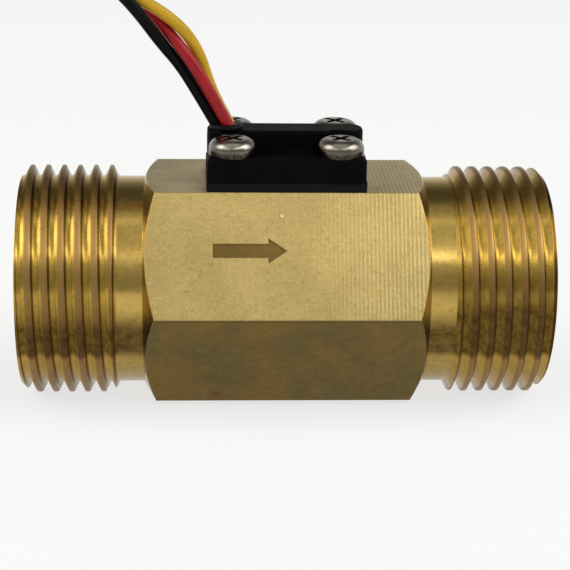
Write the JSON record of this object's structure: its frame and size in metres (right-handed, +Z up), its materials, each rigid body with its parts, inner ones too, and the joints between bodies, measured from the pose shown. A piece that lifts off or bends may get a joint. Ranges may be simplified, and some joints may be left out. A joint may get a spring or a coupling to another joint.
{
  "type": "water flow sensor",
  "caption": "Turbine water flow sensor: hexagonal brass body with parallel pipe threads at both ends, a black sensor cap on top and red, yellow and black wires to a small connector.",
  "frame": {"origin": "straight below the middle of the hexagon, level with the lowest thread crests, where a surface under the sensor would be", "axes": "+X is the flow direction along the bore, +Y points away from the side with the arrow, +Z up through the sensor cap"},
  "size_m": [0.1017, 0.0506, 0.0664],
  "materials": {
    "brass": "machined and tarnished",
    "white_plastic": "moulded",
    "bush_plastic": "turned",
    "rotor_plastic": "moulded",
    "magnet": "nickel plated",
    "steel": "ground",
    "screw_steel": "plated",
    "pad_rubber": "cut sheet",
    "black_plastic": "moulded, fine grain",
    "board": "solder mask",
    "chip_plastic": "moulded",
    "resin": "cast",
    "sealant": "smooth bead",
    "red_insulation": "extruded",
    "yellow_insulation": "extruded",
    "black_insulation": "extruded",
    "tin": "tin plated"
  },
  "bodies": {
    "housing_body": {"body": "brass", "inlet_guide": "white_plastic", "outlet_guide": "white_plastic", "inlet_bush": "bush_plastic", "outlet_bush": "bush_plastic", "inlet_thrust_washer": "steel", "outlet_thrust_washer": "steel", "inlet_retaining_ring": "steel", "outlet_retaining_ring": "steel", "seal_pad": "pad_rubber", "sensor_housing": "black_plastic", "housing_screws": "screw_steel", "circuit_board": "board", "hall_sensor": "chip_plastic", "resistor": "chip_plastic", "capacitor": "chip_plastic", "potting": "resin", "wire_seal": "sealant", "red_wire": "red_insulation", "yellow_wire": "yellow_insulation", "black_wire": "black_insulation", "connector_housing": "white_plastic", "connector_terminals": "tin"},
    "rotor_body": {"rotor": "rotor_plastic", "rotor_magnets": "magnet", "rotor_shaft": "steel"}
  },
  "joints": [
    {"name": "rotor_spin", "type": "hinge", "parent": "housing_body", "child": "rotor_body", "pos_m": [0, 0, 0.01662], "axis": [1, 0, 0], "continuous": true}
  ]
}
